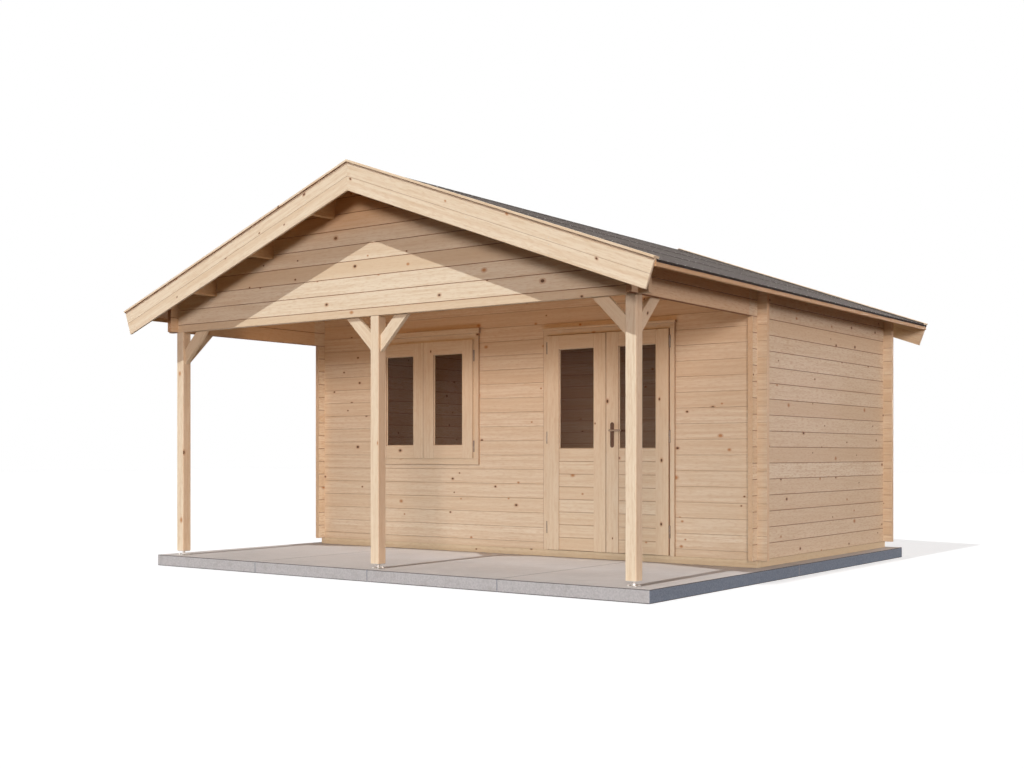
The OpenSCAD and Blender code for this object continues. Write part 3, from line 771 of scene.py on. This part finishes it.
# %% Foundation and joists
FOUND_W = 0.06
TREATED = dict(PINE, pale=tone("#E0CFAE"), late=tone("#C6AC84"), streak=tone("#D3BF9A"), dull=tone("#CDB791"))
low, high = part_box("foundation_beams")
finish, x, y, z = begin("foundation_pine")
inset = FOUND_W + 0.0001
turned_beam = y.over(low.y + inset) * y.under(high.y - inset)
along = finish.pick(turned_beam, x, y)
seed = 1160 + 4 * turned_beam + x.over(0.0) * turned_beam + 2 * y.over(0.5)
inward = finish.pick(turned_beam, y, x)
pine(finish, along, z - low.z - 0.03, inward, seed, TREATED, 0.4).paint("foundation_beams")
finish, x, y, z = begin("joist_pine")
pine(finish, y, z - low.z, x, (x / 0.3).math("FLOOR") + 1180, TREATED, 0.4).paint("floor_joists")
print("foundation", round(high.z - low.z, 3), "m high")

# %% [markdown]
# The roof is covered with mineral felt: bitumen sheet with crushed slate rolled into its face. At the eave
# the sheet is folded down over the board; the fold is painted near black, as the shadow under the felt's
# edge.

# %% Felt
felt, x, y, z = begin("mineral_felt")
grit = felt.add("TexVoronoi", {}, {"Vector": felt.vector(x, y, z), "Scale": 420.0}, "Color")
grain, shine, _ = felt.parts(grit)
patch = felt.noise(x * 1.4, y * 1.1, z * 1.4, 3.0)
stain = felt.noise(x * 34, y * 22, z * 34, 3.0)
colour = felt.blend(grain.ease(0.15, 0.95), tone("#372F2B"), tone("#554A42"))
colour = felt.blend(grain.over(0.93) * 0.5, colour, tone("#A6A19C"))
colour = felt.blend(patch.ease(0.4, 0.75) * 0.3, colour, tone("#5A534E"))
colour = felt.blend(stain.ease(0.5, 0.72) * 0.5, colour, tone("#302C2A"))
colour = felt.blend(stain.ease(0.46, 0.28) * 0.4, colour, tone("#716A64"))
# Painted shadow: the folded lip at the eave is near black.
colour = felt.blend(felt.facing()[0].over(0.7), colour, tone("#1C0E07"))
felt.surface(colour, 0.82 + 0.14 * shine, grain * 0.6 + stain * 0.8, depth=0.0012, strength=0.8)
felt.fixed(Specular_IOR_Level=0.2)
print("felt:", felt.material.name)

# %% [markdown]
# Felt comes in strips a metre wide, laid from the eave up, each lapping the one below, with a last strip
# over the ridge. A sheet is never quite flat: it rises over the edge below it and waves a little.

# %% Felt strips
FELT = 0.0024
LAP = 0.07
LAP_RISE = 0.05
FELT_EDGES = (1.93, 1.05, 0.19)
HIDDEN_TOP = 0.14
FELT_ROWS = 46
WAVE = 0.0006
FOLD = 0.017
X_EAVE = 2.835
felt_low, felt_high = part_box("roof_felt")
rng = random.Random(11)


def felt_strip(mesh, side, upper, lower, fold=False):
    """A thin wavy sheet between two level distances from the ridge, folded at the eave or lapped above it."""
    section = []
    foot = lower - LAP - LAP_RISE
    for x in sorted({upper, lower, lower - LAP, foot, (upper + lower) / 2}):
        if upper <= x <= lower:
            raised = 0.0 if fold else min(max((x - foot) / LAP_RISE, 0.0), 1.0) * FELT
            section.append((x, DECK + FIT + raised))
    tops = []
    for r in range(FELT_ROWS + 1):
        y = felt_low.y + (felt_high.y - felt_low.y) * r / FELT_ROWS
        calm = min(1.0, 12.0 * min(r, FELT_ROWS - r) / FELT_ROWS)
        wave = [WAVE * rng.random() * calm for _ in section]
        bed = [(x, n * calm + (DECK + FIT) * (1 - calm)) for x, n in section]
        upper_side = [on_slope(x, y, n + FELT * 0.95 + w, side) for (x, n), w in zip(bed, wave)]
        under_side = [on_slope(x, y, n + w * 0.5, side) for (x, n), w in zip(bed, wave)]
        if fold:
            lip = FOLD + 0.002 * rng.random()
            upper_side.append(upper_side[-1] + Vector((side * 0.0002, 0, -lip)))
            under_side.append(under_side[-1] + Vector((0, 0, -lip + 0.002)))
        tops.append([mesh.verts.new(p) for p in upper_side + list(reversed(under_side))])
    for a, b in zip(tops, tops[1:]):
        for i in range(len(a)):
            j = (i + 1) % len(a)
            mesh.faces.new((a[i], a[j], b[j], b[i]))
    mesh.faces.new(tops[0])
    mesh.faces.new(list(reversed(tops[-1])))


first_edge, second_edge, ridge_edge = FELT_EDGES
sheets = bmesh.new()
for side in (-1, 1):
    felt_strip(sheets, side, first_edge, felt_high.x - 0.0015, fold=True)
    felt_strip(sheets, side, second_edge, first_edge + LAP)
    felt_strip(sheets, side, HIDDEN_TOP, second_edge + LAP)
    felt_strip(sheets, side, FIT, ridge_edge + LAP)
felt_strips = piece("felt_strips", sheets, felt, "cabin", "felt")
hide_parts("roof_felt")

# %% [markdown]
# The base is cast concrete slabs. Concrete is never one grey: the skin is blotchy where water stood, fine
# pores pit it and sand shows in it. Painted shade darkens the bevelled arrises and paints the ends cooler and
# darker.

# %% Concrete base
concrete, x, y, z = begin("cast_concrete")
faces = concrete.facing()
blotch = concrete.noise(x * 1.3, y * 1.3, z * 3, 4.0)
sand = concrete.noise(x * 260, y * 260, z * 260, 2.0)
mottle = concrete.noise(x * 14, y * 14, z * 14, 4.0)
pore_cell = {"Vector": concrete.vector(x, y, z), "Scale": 70.0}
pore = concrete.add("TexVoronoi", {}, pore_cell, "Distance")
pit = pore.ease(0.13, 0.05) * concrete.parts(pore.out("Color"))[0].under(0.35)
colour = concrete.blend(blotch.ease(0.35, 0.7), tone("#C8C1BB"), tone("#BEB7B1"))
colour = concrete.blend(mottle.ease(0.45, 0.75) * 0.4, colour, tone("#D0CAC4"))
colour = concrete.blend(sand.ease(0.35, 0.75) * 0.25, colour, tone("#8F8780"))
colour = concrete.blend(pit * 0.6, colour, tone("#5F5A55"))
gravel = concrete.noise(x * 70, y * 70, z * 70, 3.0)
edge_skin = concrete.blend(gravel.ease(0.3, 0.75), tone("#BEBDBC"), tone("#ABABAB"))
edge_skin = concrete.blend(mottle.ease(0.5, 0.75) * 0.5, edge_skin, tone("#A29F9C"))
colour = concrete.blend(faces[1].over(0.7), colour, edge_skin)
# Painted shade along the bevelled arrises.
arris_shade = faces[2].over(0.25) * faces[2].under(0.96)
# Painted shade: the ends that look along x are a cooler, darker grey.
shaded_end_skin = concrete.blend(gravel.ease(0.33, 0.7), tone("#8694A3"), tone("#74818F"))
colour = concrete.blend(faces[0].over(0.7), colour, shaded_end_skin)
colour = concrete.blend(arris_shade * 0.85, colour, tone("#524E4B"))
concrete.surface(colour, 0.78 + 0.15 * sand, 0.6 * mottle + 0.3 * sand - pit, depth=0.0016, strength=0.7)
concrete.fixed(Specular_IOR_Level=0.25)
concrete.paint("concrete_base")

# %% [markdown]
# The panes are thin and lightly tinted. Alpha lets the room show through without bending the view; a real
# glass shader would need far more light paths for the same picture.

# %% Glass
glass, x, y, z = begin("window_glass")
smear = glass.noise(x * 7, y * 7, z * 3, 2.0)
glass.surface(tone("#5E3C2E"), 0.03 + 0.05 * smear)
glass.fixed(Alpha=0.25, Specular_IOR_Level=0.2)
glass.paint("left_leaf_glass", "right_leaf_glass", "window_glass")

# %% [markdown]
# Post feet, nails and screws are zinc-plated, with the faint spangle that zinc leaves. The hinges are nickel
# that has gone dull.

# %% Steel and nickel
steel, x, y, z = begin("zinc_plated_steel")
spangle = steel.parts(steel.add("TexVoronoi", {}, {"Vector": steel.vector(x, y, z), "Scale": 260.0}, "Color"))
brushed = steel.noise(x * 900, y * 900, z * 60, 2.0)
colour = steel.blend(spangle[0], tone("#C4BFB8"), tone("#D8D4CE"))
steel.surface(colour, 0.3 + 0.16 * brushed + 0.06 * spangle[1], brushed, depth=0.0002, strength=0.3)
steel.fixed(Metallic=1.0)
steel.paint("post_feet")
nickel, x, y, z = begin("dull_nickel")
haze = nickel.noise(x * 120, y * 120, z * 40, 2.0)
colour = nickel.blend(haze.ease(0.3, 0.7), tone("#857669"), tone("#A59587"))
nickel.surface(colour, 0.42 + 0.16 * haze, haze, depth=0.0002, strength=0.3)
nickel.fixed(Metallic=0.9)
nickel.paint("door_hinge_pins", "left_leaf_hinges", "right_leaf_hinges", "window_hinges")
print("metals:", steel.material.name, nickel.material.name)

# %% [markdown]
# The handle plates are brown bronze. Hands have worn the lever to a paler tone.

# %% Bronze
bronze, x, y, z = begin("brown_bronze")
cloud = bronze.noise(x * 60, y * 60, z * 60, 3.0)
scratch = bronze.noise(x * 1500, y * 1500, z * 90, 1.0)
colour = bronze.blend(cloud, tone("#5B4334"), tone("#77594A"))
bronze.surface(colour, 0.34 + 0.2 * cloud, scratch, depth=0.0002, strength=0.25)
bronze.fixed(Metallic=0.85)
bronze.paint("handle_plates")
worn, x, y, z = begin("worn_grip")
cloud = worn.noise(x * 40, y * 90, z * 90, 3.0)
scratch = worn.noise(x * 90, y * 1500, z * 1500, 1.0)
colour = worn.blend(cloud.ease(0.3, 0.7), tone("#A88F7B"), tone("#C4AE9B"))
worn.surface(colour, 0.28 + 0.2 * cloud, scratch, depth=0.0002, strength=0.25)
worn.fixed(Metallic=0.9)
worn.paint("door_lever")

# %% [markdown]
# Beside the cover strips the felt is turned up a little, so that no water runs under them. From the ground
# this is the dark edge that closes the felt off against the strip.

# %% Felt upstands
STRIP_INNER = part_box("cover_strips")[1].y - 0.07
UPSTAND = [(0.0, 0.0), (0.012, 0.0), (0.004, 0.005), (0.003, 0.012), (0.0, 0.012)]
foot = DECK + FIT + FELT
turned_up = bmesh.new()
for side in (-1, 1):
    for end in (-1, 1):
        bar(turned_up, *[[on_slope(x, end * (STRIP_INNER - a), foot + n, side) for a, n in UPSTAND]
                         for x in (FIT, X_EAVE - 0.012)])
piece("felt_upstands", turned_up, felt, "cabin", "felt")

# %% [markdown]
# A pane is held by beads: slim strips with a sloped face, mitred at the corners and pinned against the
# glass on both sides. One bar per side with its ends cut at 45 degrees gives real mitres, where boxes would
# overlap.

# %% Glazing beads
BEAD = [(0.0, 0.0), (0.006, 0.0), (0.006, 0.002), (0.002, 0.008), (0.0, 0.008)]
CASEMENT_PANE = CASEMENT - 2 * STILE - 2 * FIT
DOOR_X = 1.058
bead_pine, x, y, z = begin("bead_pine")
pine(bead_pine, x + z, y, x - z, x.over(DOOR_X) + 2 * x.over(0.0) + 1200, JOINERY, 0.2)


def bead_ring(mesh, x0, x1, z0, z1, face, out):
    """Four mitred beads round a pane; face is the glass's y, and out the way from it to open air."""
    corners = [(x0, z0, 1, 1), (x1, z0, -1, 1), (x1, z1, -1, -1), (x0, z1, 1, -1)]
    for near, far in zip(corners, corners[1:] + corners[:1]):
        ends = []
        for px, pz, right, up in (near, far):
            ends.append([(px + right * t, face + out * d, pz + up * t) for t, d in BEAD])
        bar(mesh, *ends)


def beads(name, glass_node, body, pane):
    low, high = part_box(glass_node)
    rings = bmesh.new()
    for left in sorted({low.x, high.x - pane}):
        for face, out in ((low.y, -1), (high.y, 1)):
            bead_ring(rings, left - FIT, left + pane + FIT, low.z - FIT, high.z + FIT, face, out)
    piece(name, rings, bead_pine, body, "joinery_timber")


for side in ("left", "right"):
    low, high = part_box(side + "_leaf_glass")
    beads(side + "_leaf_beads", side + "_leaf_glass", side + "_leaf", high.x - low.x)
beads("window_beads", "window_glass", "cabin", CASEMENT_PANE)

# %% [markdown]
# The two casements close against slim stop strips that lie a little back in the seams between casement and
# casing and in the seam where the casements meet.

# %% Stop strips
SEAM = 0.006
STOP = 0.012
SET_BACK = 0.01


def stop_strip(mesh, x0, x1, z0, z1, face):
    outline = [(x0, face), (x1, face), (x1, face + STOP), (x0, face + STOP)]
    bar(mesh, *[[(*corner, z) for corner in outline] for z in (z0, z1)])


low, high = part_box("window_casements")
left = low.x - SEAM + FIT
right = high.x + SEAM - FIT
bottom = low.z - SEAM + FIT
top = high.z + SEAM - FIT
half = SEAM / 2 - FIT
stops = bmesh.new()
stop_strip(stops, left, low.x - FIT, bottom, top, low.y + SET_BACK)
stop_strip(stops, high.x + FIT, right, bottom, top, low.y + SET_BACK)
stop_strip(stops, low.x, high.x, bottom, low.z - FIT, low.y + SET_BACK)
stop_strip(stops, low.x, high.x, high.z + FIT, top, low.y + SET_BACK)
stop_strip(stops, window_middle - half, window_middle + half, low.z, high.z, low.y + 0.003)
piece("stop_strips", stops, bead_pine, "cabin", "joinery_timber")

# %% [markdown]
# The cabin is put together with plain zinc-plated hardware. Nails are driven flush, and each head is turned
# from its profile, because a flat disc has no edge to catch the light.

# %% Board nails
NAIL = [(0.0012, 0.0007), (0.0027, 0.0005), (0.0032, 0.0), (0.0014, -0.002)]
NAIL_ROWS = (-0.169, -0.109, -0.062, -0.002)
PURLINS = [0.47 + 0.748 * i for i in range(3)]
Y_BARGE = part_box("front_bargeboards")[0].y
WINDOW_CAP = 0.05
nails = bmesh.new()
for end in (-1, 1):
    for side in (-1, 1):
        for px in PURLINS:
            for n in NAIL_ROWS:
                nail_x = px - 0.004 + 0.008 * rng.random()
                spot = on_slope(nail_x, -end * Y_BARGE, n + 0.003 * rng.random(), side)
                turned(nails, spot, (0, end, 0), NAIL, 10)

for node, board in (("door_casing", 0.045), ("window_casing", 0.055)):
    low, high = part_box(node)
    face = low.y + CAP_OVER + FIT
    posts = (low.x + CAP_OVER + board / 2, high.x - CAP_OVER - board / 2)
    rises = [low.z + 0.1 + i * (high.z - low.z - 0.22) / 4 for i in range(5)]
    for px in posts:
        for pz in rises:
            turned(nails, (px + 0.006 * rng.random(), face, pz), (0, -1, 0), NAIL, 10)
    head = high.z - (DOOR_CAP if node == "door_casing" else WINDOW_CAP) - board / 2
    rows = [head] if node == "door_casing" else [head, low.z + board / 2]
    for pz in rows:
        for i in range(4):
            px = posts[0] + (posts[1] - posts[0]) * (i + 0.5) / 4
            turned(nails, (px, face, pz), (0, -1, 0), NAIL, 10)
piece("board_nails", nails, steel, "cabin", "steel")

# %% [markdown]
# Felt is held by clout nails, short with a wide head: a row along the eave and one along each lap.

# %% Felt nails
CLOUT = [(0.001, 0.0012), (0.0042, 0.0008), (0.0048, 0.0), (0.0016, -0.003)]
CLOUT_COUNT = 44
clout_step = (felt_high.y - felt_low.y - 0.2) / (CLOUT_COUNT - 1)
clout_rows = [(X_EAVE - 0.035, 0.0)] + [(edge + 0.03, FELT) for edge in FELT_EDGES]
clouts = bmesh.new()
for side in (-1, 1):
    for px, lift in clout_rows:
        for i in range(CLOUT_COUNT):
            py = felt_low.y + 0.1 + i * clout_step
            spot = on_slope(px + 0.01 * rng.random(), py, DECK + FELT + lift + 0.0006, side)
            turned(clouts, spot, (side * math.sin(PITCH), 0, math.cos(PITCH)), CLOUT, 8)
piece("felt_nails", clouts, steel, "cabin", "steel")

# %% [markdown]
# Two countersunk screws at each end hold a brace. Their recess for the driver is part of the profile.

# %% Brace screws
SCREW = [(0.0008, -0.0016), (0.0018, 0.0), (0.0042, 0.0003), (0.0047, -0.0003), (0.0022, -0.004)]
LEG = 0.297
HALF_POST = 0.045
BRACES = (("left", ((1, 0), (0, 1))), ("centre", ((1, 0), (-1, 0))), ("right", ((-1, 0), (0, 1))))
screws = bmesh.new()
for side, ways in BRACES:
    low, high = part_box(side + "_post")
    middle = (low + high) / 2
    for wx, wy in ways:
        for out in (0.04, LEG - 0.04):
            for shift in (-0.009, 0.009):
                reach = HALF_POST + out
                screw_x = middle.x + wx * reach - wy * shift
                screw_y = middle.y + wy * reach + wx * shift
                turned(screws, (screw_x, screw_y, high.z - LEG + out), (wx, wy, -1), SCREW, 12)
piece("brace_screws", screws, steel, "cabin", "steel")

# %% [markdown]
# Each post foot is held down by four hexagon bolts with washers. No two bolts stop at the same angle.

# %% Foot bolts
WASHER = [(0.004, 0.0016), (0.0092, 0.0016), (0.0096, 0.0012), (0.0096, 0.0)]
HEXAGON = [(0.0035, 0.0075), (0.0062, 0.0075), (0.0075, 0.0066), (0.0075, 0.0012)]
BOLT_OUT = 0.027
FOOT_PLATE = 0.006
bolts = bmesh.new()
foot_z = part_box("post_feet")[0].z + FOOT_PLATE
for side in ("left", "centre", "right"):
    low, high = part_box(side + "_post")
    middle = (low + high) / 2
    for dx in (-BOLT_OUT, BOLT_OUT):
        for dy in (-BOLT_OUT, BOLT_OUT):
            spot = (middle.x + dx, middle.y + dy, foot_z)
            turned(bolts, spot, (0, 0, 1), WASHER, 16)
            turned(bolts, spot, (0, 0, 1), HEXAGON, 6, turn=rng.random())
piece("foot_bolts", bolts, steel, "cabin", "steel")

# %% [markdown]
# The hinges are drop-in barrels. A small domed cap closes each barrel at its free end: the upper one turns
# with the leaf, the lower one stays on the casing.

# %% Hinge caps
KNUCKLE = 0.052
HINGE_R = 0.006
CAP = [(0.0008, 0.0042), (0.003, 0.0036), (0.005, 0.0018), (0.006, 0.0), (0.005, -0.0008)]


def cap_row(mesh, px, py, heights, way):
    for pz in heights:
        turned(mesh, (px, py, pz), (0, 0, way), CAP, 20)


low_pin, high_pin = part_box("door_hinge_pins")
hinge_y = low_pin.y + HINGE_R
cabin_caps = bmesh.new()
for side, px in (("left", low_pin.x + HINGE_R), ("right", high_pin.x - HINGE_R)):
    low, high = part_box(side + "_leaf_hinges")
    bases = [low.z, (low.z + high.z - KNUCKLE) / 2, high.z - KNUCKLE]
    leaf_caps = bmesh.new()
    cap_row(leaf_caps, px, hinge_y, [base + KNUCKLE for base in bases], 1)
    piece(side + "_leaf_hinge_caps", leaf_caps, nickel, side + "_leaf", "steel", smooth=True)
    cap_row(cabin_caps, px, hinge_y, [base - KNUCKLE for base in bases], -1)
low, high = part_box("window_hinges")
for px in (low.x + HINGE_R, high.x - HINGE_R):
    cap_row(cabin_caps, px, hinge_y, [high.z, low.z + 2 * KNUCKLE], 1)
    cap_row(cabin_caps, px, hinge_y, [low.z, high.z - 2 * KNUCKLE], -1)
piece("cabin_hinge_caps", cabin_caps, nickel, "cabin", "steel", smooth=True)

# %% [markdown]
# The handle plates carry two screws each and a profile cylinder below the lever, round above and narrow
# below.

# %% Lock
plate_low, plate_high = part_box("handle_plates")
lever_x = (plate_low.x + plate_high.x) / 2
plate_z = (plate_low.z + plate_high.z) / 2
cylinder_z = plate_z - 0.03
BARREL = 0.0085
ARC = [math.radians(a) for a in range(-55, 236, 18)]
KEYWAY = [(BARREL * math.cos(a), BARREL * math.sin(a)) for a in ARC]
KEYWAY += [(-0.005, -0.02), (-0.0035, -0.0238), (0.0, -0.0252), (0.0035, -0.0238), (0.005, -0.02)]
lock = bmesh.new()
for face, way in ((plate_low.y, -1), (plate_high.y, 1)):
    for rise in (-0.1, 0.1):
        turned(lock, (lever_x, face, plate_z + rise), (0, way, 0), SCREW, 14)
    bar(lock, [(lever_x + a, face, cylinder_z + b) for a, b in KEYWAY],
        [(lever_x + a * 0.94, face + way * 0.005, cylinder_z + b * 0.97) for a, b in KEYWAY])
piece("lock_and_screws", lock, bronze, "right_leaf", "bronze")

# %% [markdown]
# Sawn and cast edges are never knife sharp. A narrow bevel on the plain nodes catches the light along each
# edge; the logs and posts have their chamfers in the solids already.

# %% Soft edges
def soften(width, *names):
    for name in names:
        weld = solids[name].modifiers.new("weld", "WELD")
        weld.merge_threshold = 0.00001
        edge = solids[name].modifiers.new("soft_edge", "BEVEL")
        edge.width = width
        edge.segments = 2
        edge.limit_method = "ANGLE"
        edge.angle_limit = math.radians(40)


soften(0.006, "concrete_base")
soften(0.002, "front_bargeboards", "back_bargeboards", "cover_strips", "eave_boards", "purlins",
       "foundation_beams", "left_post_braces", "centre_post_braces", "right_post_braces")
soften(0.0015, "door_casing", "window_casing", "inner_casings", "window_casements", "window_frame",
       "door_frame", "left_leaf_frame", "right_leaf_frame")
soften(0.001, "handle_plates", "post_feet")
shapes = bpy.context.evaluated_depsgraph_get()
print("faces after softening:", sum(len(solids[n].evaluated_get(shapes).data.polygons) for n in solids))

# %% [markdown]
